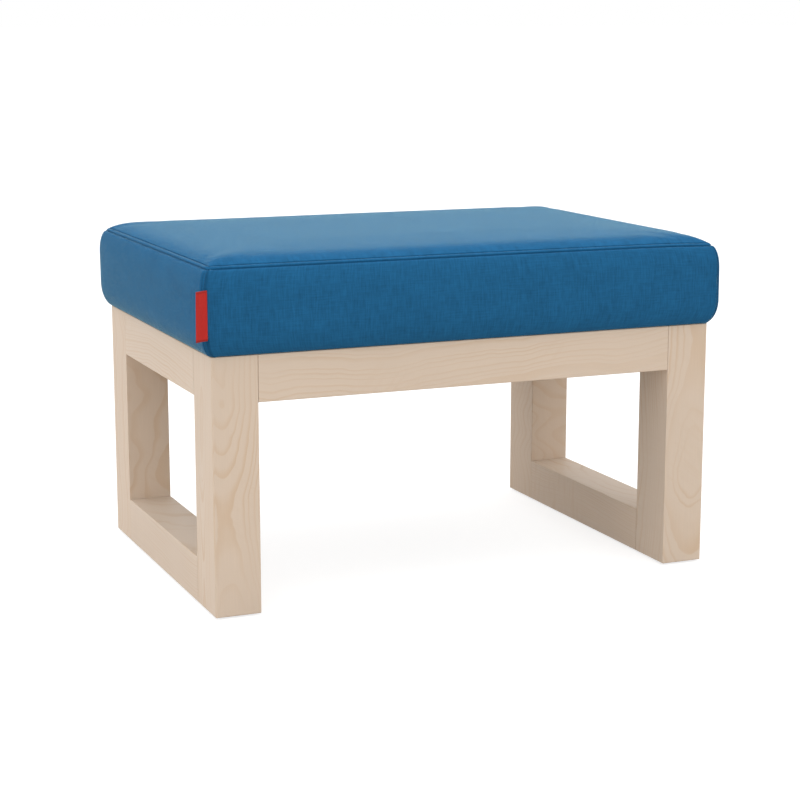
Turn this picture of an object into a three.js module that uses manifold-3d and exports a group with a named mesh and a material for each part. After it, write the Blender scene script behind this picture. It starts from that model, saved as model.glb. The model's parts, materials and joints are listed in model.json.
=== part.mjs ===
// Ottoman for a nursery glider: a padded seat bolted onto two closed hardwood end loops
// that are joined by a front and a back apron. Millimetres, +Z up.
// X runs along the length, Y towards the back, and the floor is at Z zero.

import * as THREE from 'three';
import { mergeVertices } from 'three/addons/utils/BufferGeometryUtils.js';
import Module from 'manifold-3d';

const wasm = await Module();
wasm.setup();

// Timber frame
const frameLength = 592;
const frameDepth = 404;
const frameHeight = 279.4;
const postWidth = 50.8;
const postDepth = 63.5;
const railHeight = 50.8;
const apronThickness = 22;
const outerArris = 2.5;
const footArris = 1.5;
const innerArris = 1;
const jointArris = 0.5;

// Gap at every glue line and every seat between two pieces
const jointGap = 0.3;

// How far a cutter runs past the face that it cuts
const cutOverrun = 3;

// Loose tenons. Those of the aprons stop short of the screws that cross them.
const railTenonLength = 50;
const railTenonHeight = 30;
const railTenonThickness = 10;
const apronTenonToScrew = 6;
const apronTenonHeight = 28;
const apronTenonThickness = 8;

// Glides and their nails
const glideRadius = 11;
const glideThickness = 2;
const glideEdge = 0.5;
const nailRadius = 1.2;
const nailLength = 19;
const nailPoint = 2.5;
const nailHeadRadius = 2.8;
const nailHeadThickness = 0.8;
const nailHeadLift = 0.2;

// Corner blocks. Bolt, screws and screw seats keep to shares of a leg from the glued faces.
const blockHeight = 38;
const blockReveal = 3.5;
const blockTipWidth = 6;
const blockDrop = 0.4;
const boltSetbackShare = 0.345;
const screwSetbackShare = 0.743;
const blockWebShare = 0.265;

// Wood screws through the blocks
const screwRadius = 2;
const screwGrip = 15;
const screwPoint = 4;
const screwHeadRadius = 3.9;
const screwHeadHeight = 2.4;
const recessWidth = 1;
const recessSpan = 4.2;
const recessDepth = 1.3;

// Seat bolts and tee nuts
const boltRadius = 3;
const boltFlangeRadius = 6.8;
const boltFlangeThickness = 1.4;
const boltHeadAcrossCorners = 11;
const boltHeadHeight = 4.6;
const boltShortfall = 2;
const boltPoint = 1;
const teeBarrelRadius = 4.1;
const teeBarrelLength = 9;
const teeFlangeRadius = 9.5;
const teeFlangeThickness = 1.4;
const prongCircleRadius = 7.6;
const prongWidth = 2.4;
const prongThickness = 1.2;
const prongLength = 6;

// Seat: board, padding and cloth
const boardThickness = 15;
const boardInset = 6;
const coverThickness = 1.2;
const wrapThickness = 8;
const dustCoverThickness = 0.6;
const dustCoverInset = 12;
const marginToBolt = 4;
const sideHeight = 92;
const sideBulge = 10;
const crownRise = 12.5;
const rollWidth = 52;

// Folded tab in the front left corner seam
const tabHeight = 52;
const tabReach = 12.3;
const tabRibbon = 0.4;
const tabSlit = 0.3;
const tabBottomAboveCover = 18;
const tabAngle = THREE.MathUtils.degToRad(31);

// The side of the seat from its lower edge to the seam, as shares of side height and of bulge
const sideShares = [
  [0, -0.15],
  [0.02, 0.22],
  [0.06, 0.48],
  [0.12, 0.7],
  [0.2, 0.87],
  [0.33, 0.99],
  [0.5, 1],
  [0.67, 0.99],
  [0.79, 0.89],
  [0.88, 0.74],
  [0.95, 0.52],
  [1, 0.06],
];

// The top from the seam inwards, as shares of the roll's width and of the crown's rise
const rollShares = [
  [0.07, 0.2],
  [0.2, 0.46],
  [0.45, 0.71],
  [1, 0.85],
];

// The flat middle of the top, as shares of its outline and of the crown's rise
const crownShares = [
  [0.66, 0.935],
  [0.3, 0.987],
];

// Stations along one side from corner to corner, and how much less the corner bulges
const stationShares = [0, 0.02, 0.06, 0.16, 0.5, 0.84, 0.94, 0.98];
const cornerBulgeShare = 0.93;
const bowPower = 10;

// The padding leaves the board's edge above this share of the side
const paddingStartShare = 0.3;

// Facets of rounded shapes
const arcSteps = 2;
const holeSides = 16;
const screwSides = 12;
const boltSides = 24;
const teeSides = 16;
const glideSides = 32;

// Levels above the floor
const frameBottom = glideThickness + jointGap;
const frameTop = frameBottom + frameHeight;
const topRailLevel = frameTop - railHeight / 2;
const bottomRailLevel = frameBottom + railHeight / 2;
const blockTop = frameTop - blockDrop;
const blockBottom = blockTop - blockHeight;
const dustCoverBottom = frameTop + jointGap;
const rimBottom = frameTop + jointGap;
const coverBottom = dustCoverBottom + dustCoverThickness + jointGap;
const boardBottom = coverBottom + coverThickness + jointGap;
const boardTop = boardBottom + boardThickness;
const foamBottom = boardTop + jointGap;
const seamLevel = coverBottom + sideHeight;

// Places in plan, measured from the middle of the frame
const postX = frameLength / 2 - postWidth / 2;
const postY = frameDepth / 2 - postDepth / 2;
const postInnerX = frameLength / 2 - postWidth;
const postInnerY = frameDepth / 2 - postDepth;
const apronY = frameDepth / 2 - apronThickness / 2;
const apronInnerY = frameDepth / 2 - apronThickness;
const blockLeg = postDepth - apronThickness - jointGap - blockReveal;
const boltSetback = blockLeg * boltSetbackShare;
const screwSetback = blockLeg * screwSetbackShare;
const blockWeb = blockLeg * blockWebShare;
const apronTenonLength = 2 * (screwSetback - screwRadius - apronTenonToScrew);
const boltX = postInnerX - jointGap - boltSetback;
const boltY = apronInnerY - jointGap - boltSetback;

const material = (color, roughness, metalness = 0) =>
  new THREE.MeshStandardMaterial({ color, roughness, metalness });

const maple = material(0xd6c0a8, 0.5);
const beech = material(0xc9a883, 0.6);
const plywood = material(0xc8ab80, 0.7);
const foam = material(0xe9dfae, 0.95);
const fibre = material(0xf1f1ee, 0.95);
const seatFabric = material(0x2f6f9f, 0.9);
const dustCloth = material(0x1c1c1e, 0.95);
const tabRibbonRed = material(0xc4302b, 0.8);
const zincSteel = material(0xb4b6b8, 0.35, 1);
const nylon = material(0xe6e3dc, 0.5);

const ends = [['left', -1], ['right', 1]];
const faces = [['front', -1], ['back', 1]];
const railLevels = [['top', topRailLevel], ['bottom', bottomRailLevel]];

const ottoman = new THREE.Group();

function addPiece(name, geometry, look, place = new THREE.Vector3()) {
  const mesh = new THREE.Mesh(geometry, look);
  mesh.name = name;
  mesh.position.copy(place);
  ottoman.add(mesh);
  return mesh;
}

// Turns a shape's own z onto the named axis, with its own y upright where that can be
const axisX = new THREE.Vector3(1, 0, 0);
const axisY = new THREE.Vector3(0, 1, 0);
const axisZ = new THREE.Vector3(0, 0, 1);
const turns = {
  x: new THREE.Matrix4().makeBasis(axisY, axisZ, axisX),
  y: new THREE.Matrix4().makeBasis(axisX.clone().negate(), axisZ, axisY),
  z: new THREE.Matrix4(),
};

function extruded(shape, length, axis) {
  const options = { depth: length, bevelEnabled: false, curveSegments: arcSteps };
  const geometry = new THREE.ExtrudeGeometry(shape, options);
  return geometry.translate(0, 0, -length / 2).applyMatrix4(turns[axis]);
}

function drilled(radius, length, axis) {
  const geometry = new THREE.CylinderGeometry(radius, radius, length, holeSides);
  return geometry.rotateX(Math.PI / 2).applyMatrix4(turns[axis]);
}

function turnedProfile(sides, points) {
  const profile = points.map(([radius, level]) => new THREE.Vector2(radius, level));
  return new THREE.LatheGeometry(profile, sides).rotateX(Math.PI / 2);
}

// Joins and cuts of closed shapes
function toSolid(geometry) {
  const bare = geometry.clone();
  bare.deleteAttribute('normal');
  bare.deleteAttribute('uv');
  const merged = mergeVertices(bare);
  return new wasm.Manifold(new wasm.Mesh({
    numProp: 3,
    vertProperties: merged.attributes.position.array,
    triVerts: new Uint32Array(merged.index.array),
  }));
}

function toGeometry(solid) {
  const mesh = solid.getMesh();
  const geometry = new THREE.BufferGeometry();
  geometry.setAttribute('position', new THREE.BufferAttribute(mesh.vertProperties, 3));
  geometry.setIndex(new THREE.BufferAttribute(mesh.triVerts, 1));
  return geometry;
}

function cutFrom(body, cutters) {
  let solid = toSolid(body);
  for (const cutter of cutters) {
    solid = solid.subtract(toSolid(cutter));
  }
  return toGeometry(solid);
}

function joined(body, additions) {
  let solid = toSolid(body);
  for (const addition of additions) {
    solid = solid.add(toSolid(addition));
  }
  return toGeometry(solid);
}

// The waste outside one rounded edge of a bar. An edge along z is named by its sides in x and y,
// one along x by its sides in y and z, and one along y by its sides in x and z.
function edgeWaste(size, { along, sides, radius }) {
  const waste = new THREE.Shape();
  waste.moveTo(-radius, 0);
  waste.absarc(-radius, -radius, radius, Math.PI / 2, 0, true);
  waste.lineTo(cutOverrun, -radius);
  waste.lineTo(cutOverrun, cutOverrun);
  waste.lineTo(-radius, cutOverrun);
  const across = { x: [size.y, size.z], y: [size.x, size.z], z: [size.x, size.y] }[along];
  const first = along === 'y' ? -sides[0] : sides[0];
  const second = sides[1];
  const quarterTurns = first > 0 ? (second > 0 ? 0 : 3) : (second > 0 ? 1 : 2);
  const length = size[along] + 2 * cutOverrun;
  const geometry = extruded(waste, length, 'z').rotateZ(quarterTurns * Math.PI / 2);
  geometry.translate(first * across[0] / 2, second * across[1] / 2, 0);
  return geometry.applyMatrix4(turns[along]);
}

// Loose tenons: flat, with round edges, half in each of the two pieces that they join
const tenonJoints = [];
for (const [end, sideX] of ends) {
  for (const [face, sideY] of faces) {
    const post = `${face}_${end}_post`;
    for (const [level, height] of railLevels) {
      tenonJoints.push({
        name: `${end}_${level}_rail_${face}_tenon`,
        members: [post, `${end}_${level}_rail`],
        axis: 'y',
        place: new THREE.Vector3(sideX * postX, sideY * (postInnerY - jointGap / 2), height),
        length: railTenonLength,
        height: railTenonHeight,
        thickness: railTenonThickness,
      });
    }
    tenonJoints.push({
      name: `${face}_apron_${end}_tenon`,
      members: [post, `${face}_apron`],
      axis: 'x',
      place: new THREE.Vector3(sideX * (postInnerX - jointGap / 2), sideY * apronY, topRailLevel),
      length: apronTenonLength,
      height: apronTenonHeight,
      thickness: apronTenonThickness,
    });
  }
}

function tenonShape({ axis, length, height, thickness }, clearance) {
  const radius = thickness / 2 + clearance;
  const straight = (height - thickness) / 2;
  const section = new THREE.Shape();
  section.moveTo(radius, -straight);
  section.lineTo(radius, straight);
  section.absarc(0, straight, radius, 0, Math.PI, false);
  section.lineTo(-radius, -straight);
  section.absarc(0, -straight, radius, Math.PI, 2 * Math.PI, false);
  return extruded(section, length + 2 * clearance, axis);
}

for (const joint of tenonJoints) {
  addPiece(joint.name, tenonShape(joint, 0), beech, joint.place);
}

// Corner blocks, one inside each corner of the frame: what each holds, and where
const corners = [];
for (const [end, sideX] of ends) {
  for (const [face, sideY] of faces) {
    const level = (blockTop + blockBottom) / 2;
    corners.push({
      name: `${face}_${end}`,
      sideX,
      sideY,
      bolt: new THREE.Vector3(sideX * boltX, sideY * boltY, blockBottom),
      glide: new THREE.Vector3(sideX * postX, sideY * postY, 0),
      screws: [
        {
          name: `${face}_${end}_post_screw`,
          member: `${face}_${end}_post`,
          axis: 'x',
          outward: new THREE.Vector3(sideX, 0, 0),
          bearing: new THREE.Vector3(
            sideX * (postInnerX - jointGap - blockWeb),
            sideY * (apronInnerY - jointGap - screwSetback),
            level,
          ),
        },
        {
          name: `${face}_${end}_apron_screw`,
          member: `${face}_apron`,
          axis: 'y',
          outward: new THREE.Vector3(0, sideY, 0),
          bearing: new THREE.Vector3(
            sideX * (postInnerX - jointGap - screwSetback),
            sideY * (apronInnerY - jointGap - blockWeb),
            level,
          ),
        },
      ],
    });
  }
}
const screws = corners.flatMap((corner) => corner.screws);

// Length of a screw under its head: the block's web, the glue line and its grip in the timber
const screwLength = blockWeb + jointGap + screwGrip;

// The hole for a screw's body, from inside the block to just past its point
function screwHole({ axis, outward, bearing }) {
  const hole = drilled(screwRadius + jointGap, screwLength + jointGap + cutOverrun, axis);
  const middle = (screwLength + jointGap - cutOverrun) / 2;
  return hole.translate(...bearing.clone().addScaledVector(outward, middle).toArray());
}

// The flat-bottomed hole in the block that the screw's head goes down
function screwCounterbore({ axis, outward, bearing }) {
  const depth = blockLeg;
  const bore = drilled(screwHeadRadius + jointGap, depth, axis);
  const seat = bearing.clone().addScaledVector(outward, -depth / 2);
  return bore.translate(...seat.toArray());
}

// The hole up into the end grain of a post for the glide's nail
function nailHole({ glide }) {
  const length = nailLength + jointGap;
  const hole = drilled(nailRadius + jointGap, 2 * length, 'z');
  return hole.translate(glide.x, glide.y, nailHeadThickness + jointGap);
}

// A planed bar of timber in its place, with rounded edges, mortises and pilot holes
function addTimber(name, size, place, edges, holes = []) {
  const body = new THREE.BoxGeometry(size.x, size.y, size.z);
  const mortises = tenonJoints
    .filter((joint) => joint.members.includes(name))
    .map((joint) => tenonShape(joint, jointGap).translate(...joint.place.toArray()));
  const pilots = screws.filter((screw) => screw.member === name).map(screwHole);
  const home = place.clone().negate().toArray();
  const inPlace = [...mortises, ...pilots, ...holes].map((cutter) => cutter.translate(...home));
  const rounded = edges.map((edge) => edgeWaste(size, edge));
  addPiece(name, cutFrom(body, [...rounded, ...inPlace]), maple, place);
}

// The four long edges of a bar, each by the radius for its two sides
function longEdges(along, radiusFor) {
  const signs = [-1, 1];
  return signs.flatMap((first) =>
    signs.map((second) => ({ along, sides: [first, second], radius: radiusFor(first, second) })));
}

// Posts: the full height of an end loop, with the outer corner rounded most
for (const corner of corners) {
  const { name, sideX, sideY } = corner;
  const size = new THREE.Vector3(postWidth, postDepth, frameHeight);
  const place = new THREE.Vector3(sideX * postX, sideY * postY, frameBottom + frameHeight / 2);
  const uprights = longEdges('z', (x, y) => {
    if (x === sideX && y === sideY) return outerArris;
    return x === sideX || y === sideY ? jointArris : innerArris;
  });
  const footAndTop = (side, level) => (level < 0 ? footArris : innerArris);
  const edges = [...uprights, ...longEdges('x', footAndTop), ...longEdges('y', footAndTop)];
  addTimber(`${name}_post`, size, place, edges, [nailHole(corner)]);
}

// Rails: between the posts of each loop, as thick as the posts are wide, flush on both faces
for (const [end, sideX] of ends) {
  for (const [level, height] of railLevels) {
    const size = new THREE.Vector3(postWidth, 2 * (postInnerY - jointGap), railHeight);
    const place = new THREE.Vector3(sideX * postX, 0, height);
    const arris = (x, z) => (level === 'bottom' && z < 0 ? footArris : innerArris);
    addTimber(`${end}_${level}_rail`, size, place, longEdges('y', arris));
  }
}

// Aprons: between the posts at the front and back, flush outside and level with the top rails
for (const [face, sideY] of faces) {
  const size = new THREE.Vector3(2 * (postInnerX - jointGap), apronThickness, railHeight);
  const place = new THREE.Vector3(0, sideY * apronY, topRailLevel);
  const ends = [-1, 1].map((side) => ({ along: 'z', sides: [side, sideY], radius: jointArris }));
  addTimber(`${face}_apron`, size, place, [...longEdges('x', () => innerArris), ...ends]);
}

// Corner block: a right-angled block with clipped tips, glued to the post and the apron
function blockGeometry({ sideX, sideY, bolt, screws: held }) {
  const outline = [
    [0, 0],
    [blockLeg, 0],
    [blockLeg, blockTipWidth],
    [blockTipWidth, blockLeg],
    [0, blockLeg],
  ];
  const section = new THREE.Shape(
    outline.map(([alongApron, alongPost]) => new THREE.Vector2(
      sideX * (postInnerX - jointGap - alongApron),
      sideY * (apronInnerY - jointGap - alongPost),
    )),
  );
  const body = extruded(section, blockHeight, 'z').translate(0, 0, (blockTop + blockBottom) / 2);
  const boltHole = drilled(boltRadius + jointGap, blockHeight + 2 * cutOverrun, 'z');
  boltHole.translate(bolt.x, bolt.y, (blockTop + blockBottom) / 2);
  const screwCuts = held.flatMap((screw) => [screwHole(screw), screwCounterbore(screw)]);
  return cutFrom(body, [boltHole, ...screwCuts]);
}

// Wood screw: its head bears at its own zero, its point is below, and a cross recess is on top
function screwGeometry() {
  const body = turnedProfile(screwSides, [
    [0, -screwLength],
    [screwRadius, screwPoint - screwLength],
    [screwRadius, 0],
    [screwHeadRadius, 0],
    [screwHeadRadius, screwHeadHeight / 2],
    [screwHeadRadius / 2, screwHeadHeight],
    [0, screwHeadHeight],
  ]);
  const slots = [0, Math.PI / 2].map((angle) => {
    const slot = new THREE.BoxGeometry(recessSpan, recessWidth, 2 * recessDepth);
    return slot.rotateZ(angle).translate(0, 0, screwHeadHeight);
  });
  return cutFrom(body, slots);
}

// Seat bolt: flanged hexagon head under the block, with its end just inside the board
function boltGeometry() {
  const length = boardTop - blockBottom - boltShortfall;
  const body = turnedProfile(boltSides, [
    [0, -boltFlangeThickness],
    [boltFlangeRadius, -boltFlangeThickness],
    [boltFlangeRadius, 0],
    [boltRadius, 0],
    [boltRadius, length - boltPoint],
    [boltRadius - boltPoint, length],
    [0, length],
  ]);
  const headSides = 6;
  const corner = boltHeadAcrossCorners / 2;
  const head = new THREE.CylinderGeometry(corner, corner, boltHeadHeight, headSides);
  head.rotateX(Math.PI / 2).translate(0, 0, -boltHeadHeight / 2 - boltFlangeThickness / 2);
  return joined(body, [head]);
}

// Tee nut: its flange is let into the board's top and its barrel hangs below, round the bolt
const prongAngles = [0, 1, 2, 3].map((quarter) => quarter * Math.PI / 2);

function prongGeometry(angle, clearance) {
  const height = prongLength + teeFlangeThickness / 2;
  const prong = new THREE.BoxGeometry(
    prongThickness + 2 * clearance,
    prongWidth + 2 * clearance,
    height + 2 * clearance,
  );
  return prong.translate(prongCircleRadius, 0, -teeFlangeThickness / 2 - height / 2).rotateZ(angle);
}

function teeNutGeometry() {
  const bore = boltRadius + jointGap;
  const body = turnedProfile(teeSides, [
    [bore, -teeBarrelLength],
    [teeBarrelRadius, -teeBarrelLength],
    [teeBarrelRadius, -teeFlangeThickness],
    [teeFlangeRadius, -teeFlangeThickness],
    [teeFlangeRadius, 0],
    [bore, 0],
    [bore, -teeBarrelLength],
  ]);
  return joined(body, prongAngles.map((angle) => prongGeometry(angle, 0)));
}

// Glide: a low turned disc with a countersink for its nail's head
function glideGeometry() {
  const bore = nailRadius + jointGap;
  const sink = nailHeadRadius + jointGap;
  const sinkLevel = nailHeadThickness + jointGap + nailHeadLift;
  return turnedProfile(glideSides, [
    [bore, sinkLevel],
    [sink, sinkLevel],
    [sink, 0],
    [glideRadius - glideEdge, 0],
    [glideRadius, glideEdge],
    [glideRadius, glideThickness],
    [bore, glideThickness],
    [bore, sinkLevel],
  ]);
}

function nailGeometry() {
  const tip = nailLength + nailHeadLift;
  return turnedProfile(screwSides, [
    [0, nailHeadLift],
    [nailHeadRadius, nailHeadLift],
    [nailHeadRadius, nailHeadLift + nailHeadThickness],
    [nailRadius, nailHeadLift + nailHeadThickness],
    [nailRadius, tip - nailPoint],
    [0, tip],
  ]);
}

for (const corner of corners) {
  const { name, bolt, glide } = corner;
  addPiece(`${name}_corner_block`, blockGeometry(corner), maple);
  for (const screw of corner.screws) {
    const mesh = addPiece(screw.name, screwGeometry(), zincSteel, screw.bearing);
    mesh.position.addScaledVector(screw.outward, -jointGap);
    mesh.quaternion.setFromUnitVectors(axisZ, screw.outward.clone().negate());
  }
  const boltPlace = bolt.clone().addScaledVector(axisZ, -jointGap);
  addPiece(`${name}_seat_bolt`, boltGeometry(), zincSteel, boltPlace);
  addPiece(`${name}_tee_nut`, teeNutGeometry(), zincSteel, new THREE.Vector3(bolt.x, bolt.y, boardTop));
  addPiece(`${name}_glide`, glideGeometry(), nylon, glide);
  addPiece(`${name}_glide_nail`, nailGeometry(), zincSteel, glide);
}

// Seat board: plywood, bored and recessed from above for the tee nuts
function boardGeometry() {
  const length = frameLength - 2 * boardInset;
  const depth = frameDepth - 2 * boardInset;
  const body = new THREE.BoxGeometry(length, depth, boardThickness);
  body.translate(0, 0, boardBottom + boardThickness / 2);
  const cuts = corners.flatMap(({ bolt }) => {
    const barrel = drilled(teeBarrelRadius + jointGap, boardThickness + 2 * cutOverrun, 'z');
    barrel.translate(bolt.x, bolt.y, boardBottom + boardThickness / 2);
    const recess = drilled(teeFlangeRadius + jointGap, 2 * (teeFlangeThickness + jointGap), 'z');
    recess.translate(bolt.x, bolt.y, boardTop);
    const slots = prongAngles.map((angle) =>
      prongGeometry(angle, jointGap).translate(bolt.x, bolt.y, boardTop));
    return [barrel, recess, ...slots];
  });
  return cutFrom(body, cuts);
}
addPiece('seat_board', boardGeometry(), plywood);

// One ring round the seat. Its sides bow out by the bulge, less at the corners.
function seatRing({ halfX, halfY, bulge, level }) {
  const outline = [[-1, -1], [1, -1], [1, 1], [-1, 1]];
  const cornerOut = bulge * cornerBulgeShare;
  return outline.flatMap(([fromX, fromY], side) => {
    const [toX, toY] = outline[(side + 1) % outline.length];
    const alongX = fromY === toY;
    return stationShares.map((share) => {
      const bow = (bulge - cornerOut) * (1 - Math.abs(2 * share - 1) ** bowPower);
      const x = THREE.MathUtils.lerp(fromX, toX, share) * (halfX + cornerOut);
      const y = THREE.MathUtils.lerp(fromY, toY, share) * (halfY + cornerOut);
      return new THREE.Vector3(alongX ? x : x + fromX * bow, alongX ? y + fromY * bow : y, level);
    });
  });
}

// A ring that stands out from the frame's outline by its reach, which is negative inside it
const ringAt = (reach, level, bulge = 0) => ({
  halfX: frameLength / 2 + reach,
  halfY: frameDepth / 2 + reach,
  bulge,
  level,
});

// The side of the seat, a given depth below the outside of the cover
function sideRings(depth, bottom, fromShare = 0) {
  const top = seamLevel - depth;
  return sideShares
    .filter(([heightShare]) => heightShare >= fromShare)
    .map(([heightShare, bulgeShare]) => {
      const level = THREE.MathUtils.lerp(bottom, top, heightShare);
      return ringAt(-depth, level, sideBulge * bulgeShare);
    });
}

// The rolled edge and the crown of the seat, a given depth below the outside of the cover
function topRings(depth) {
  const levelFor = (riseShare) => seamLevel + crownRise * riseShare - depth;
  const roll = rollShares.map(([widthShare, riseShare]) =>
    ringAt(-depth - rollWidth * widthShare, levelFor(riseShare)));
  const edge = roll[roll.length - 1];
  const crown = crownShares.map(([outlineShare, riseShare]) => ({
    halfX: edge.halfX * outlineShare,
    halfY: edge.halfY * outlineShare,
    bulge: 0,
    level: levelFor(riseShare),
  }));
  return [...roll, ...crown];
}

const middleAt = (level) => new THREE.Vector3(0, 0, level);
const crownMiddle = (depth) => middleAt(seamLevel + crownRise - depth);

// Skins a closed body over rings, from a point in the middle to another point in the middle.
// Each facet is split from its lower end up to the next station, so that nested skins split alike.
function lofted(start, rings, finish) {
  const rows = rings.map(seatRing);
  const count = rows[0].length;
  const points = [start, ...rows.flat(), finish];
  const last = points.length - 1;
  const at = (row, station) => 1 + row * count + (station % count);
  const triangles = [];
  for (let station = 0; station < count; station += 1) {
    triangles.push(0, at(0, station + 1), at(0, station));
    triangles.push(at(rows.length - 1, station), at(rows.length - 1, station + 1), last);
    for (let row = 0; row < rows.length - 1; row += 1) {
      const [near, nearNext] = [at(row, station), at(row, station + 1)];
      const [far, farNext] = [at(row + 1, station), at(row + 1, station + 1)];
      if (rings[row + 1].level > rings[row].level) {
        triangles.push(near, nearNext, farNext, near, farNext, far);
      } else {
        triangles.push(near, nearNext, far, nearNext, farNext, far);
      }
    }
  }
  const geometry = new THREE.BufferGeometry().setFromPoints(points);
  return geometry.setIndex(triangles);
}

// Foam core: cut flush with the board below, then swelling out under the wrap
const coreDepth = coverThickness + jointGap + wrapThickness + jointGap;

function coreRings(clearance) {
  const depth = coreDepth - clearance;
  return [
    ringAt(clearance - boardInset, foamBottom),
    ...sideRings(depth, coverBottom, paddingStartShare),
    ...topRings(depth),
  ];
}
addPiece('foam_core', lofted(middleAt(foamBottom), coreRings(0), crownMiddle(coreDepth)), foam);

// Fibre wrap: over the foam and down past the board's edge, open below
function wrapGeometry() {
  const outerDepth = coverThickness + jointGap;
  const innerRings = [ringAt(jointGap - boardInset, boardBottom), ...coreRings(jointGap)];
  const outerRings = [...sideRings(outerDepth, boardBottom), ...topRings(outerDepth)];
  const rings = [...innerRings.reverse(), ...outerRings];
  return lofted(crownMiddle(coreDepth - jointGap), rings, crownMiddle(outerDepth));
}
addPiece('fibre_wrap', wrapGeometry(), fibre);

// Seat cover: over the wrap, drawn in under the board and trimmed back short of the bolts.
// It lies on the timber round the rim, and steps up over the edge of the dust cover inside that.
function coverGeometry() {
  const marginReach = -(frameDepth / 2 - boltY - boltRadius - marginToBolt);
  const stepReach = -(boardInset + dustCoverInset - jointGap);
  const stepHeight = coverBottom - rimBottom;
  const skin = (depth) => [
    ringAt(marginReach, coverBottom + depth),
    ringAt(stepReach, coverBottom + depth),
    ringAt(stepReach + stepHeight, rimBottom + depth),
    ...sideRings(depth, rimBottom + depth),
    ...topRings(depth),
  ];
  const inner = skin(coverThickness);
  const outer = skin(0);
  return lofted(crownMiddle(coverThickness), [...inner.reverse(), ...outer], crownMiddle(0));
}
addPiece('seat_cover', coverGeometry(), seatFabric);

// Dust cover: stretched over the underside, with a hole for each bolt
function dustCoverGeometry() {
  const length = frameLength - 2 * (boardInset + dustCoverInset);
  const depth = frameDepth - 2 * (boardInset + dustCoverInset);
  const sheet = new THREE.BoxGeometry(length, depth, dustCoverThickness);
  sheet.translate(0, 0, dustCoverBottom + dustCoverThickness / 2);
  const holes = corners.map(({ bolt }) => {
    const hole = drilled(boltRadius + jointGap, dustCoverThickness + 2 * cutOverrun, 'z');
    return hole.translate(bolt.x, bolt.y, dustCoverBottom);
  });
  return cutFrom(sheet, holes);
}
addPiece('dust_cover', dustCoverGeometry(), dustCloth);

// Seam tab: a ribbon folded in two, its two leaves sewn into the front left corner seam
function tabGeometry() {
  const half = tabRibbon + tabSlit / 2;
  const fold = new THREE.Shape();
  fold.moveTo(0, -half);
  fold.lineTo(tabReach - half, -half);
  fold.absarc(tabReach - half, 0, half, -Math.PI / 2, Math.PI / 2, false);
  fold.lineTo(0, half);
  fold.lineTo(0, tabSlit / 2);
  fold.lineTo(tabReach - half, tabSlit / 2);
  fold.absarc(tabReach - half, 0, tabSlit / 2, Math.PI / 2, -Math.PI / 2, true);
  fold.lineTo(0, -tabSlit / 2);
  return extruded(fold, tabHeight, 'z');
}
const tab = addPiece('seam_tab', tabGeometry(), tabRibbonRed);
const tabRoot = sideBulge * cornerBulgeShare + jointGap;
tab.position.set(
  -(frameLength / 2 + tabRoot),
  -(frameDepth / 2 + tabRoot),
  coverBottom + tabBottomAboveCover + tabHeight / 2,
);
tab.rotation.z = Math.PI + tabAngle;

// The origin is on the floor, in the middle of the whole object's outline
ottoman.updateMatrixWorld(true);
const outline = new THREE.Box3().setFromObject(ottoman, true);
const middle = outline.getCenter(new THREE.Vector3());
ottoman.position.set(-middle.x, -middle.y, 0);

export default ottoman;
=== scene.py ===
"""Upholstered ottoman: a padded seat in blue linen-look cloth on two closed end loops of pale maple."""

import json
import math

import bpy
import numpy as np
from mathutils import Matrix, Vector

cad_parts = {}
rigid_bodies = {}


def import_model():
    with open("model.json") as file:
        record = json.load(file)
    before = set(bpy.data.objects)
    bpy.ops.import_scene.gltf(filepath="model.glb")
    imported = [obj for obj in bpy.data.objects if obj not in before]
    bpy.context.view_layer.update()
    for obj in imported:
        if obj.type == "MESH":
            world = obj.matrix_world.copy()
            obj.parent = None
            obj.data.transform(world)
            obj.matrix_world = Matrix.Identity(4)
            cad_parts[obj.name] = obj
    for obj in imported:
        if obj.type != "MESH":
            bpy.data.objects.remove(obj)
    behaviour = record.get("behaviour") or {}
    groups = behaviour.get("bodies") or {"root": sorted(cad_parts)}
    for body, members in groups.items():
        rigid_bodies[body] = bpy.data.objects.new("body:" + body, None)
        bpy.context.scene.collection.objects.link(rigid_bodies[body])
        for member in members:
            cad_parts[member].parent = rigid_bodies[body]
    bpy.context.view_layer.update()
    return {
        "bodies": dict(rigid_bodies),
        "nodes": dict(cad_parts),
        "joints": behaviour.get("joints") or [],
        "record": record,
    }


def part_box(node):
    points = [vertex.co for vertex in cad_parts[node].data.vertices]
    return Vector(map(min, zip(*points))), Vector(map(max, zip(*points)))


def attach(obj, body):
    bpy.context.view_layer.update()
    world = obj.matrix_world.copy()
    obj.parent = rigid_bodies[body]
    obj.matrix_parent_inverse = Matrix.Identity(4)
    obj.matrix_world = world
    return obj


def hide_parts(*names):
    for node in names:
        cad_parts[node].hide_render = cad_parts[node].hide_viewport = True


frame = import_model()
nodes = frame["nodes"]
mm = 0.001

# View
# The camera stands where the photograph was taken from, to the right of the front left corner and a
# little above the seat. Its place is measured from the foot of the frame, in the middle of the posts.

front_left_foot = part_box("front_left_post")[0]
back_right_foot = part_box("back_right_post")[1]
frame_middle = Vector((
    (front_left_foot.x + back_right_foot.x) / 2,
    (front_left_foot.y + back_right_foot.y) / 2,
    front_left_foot.z,
))
camera_offset = Vector((-0.87956, -2.09025, 0.62253))
camera_azimuth = math.radians(-22.8122)
camera_elevation = math.radians(11.1398)
lens_length = 87.451
sensor_width = 36


def placed(name, data):
    """A new object in the scene, made from a mesh, a lamp or a camera."""
    thing = bpy.data.objects.new(name, data)
    bpy.context.scene.collection.objects.link(thing)
    return thing


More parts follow.
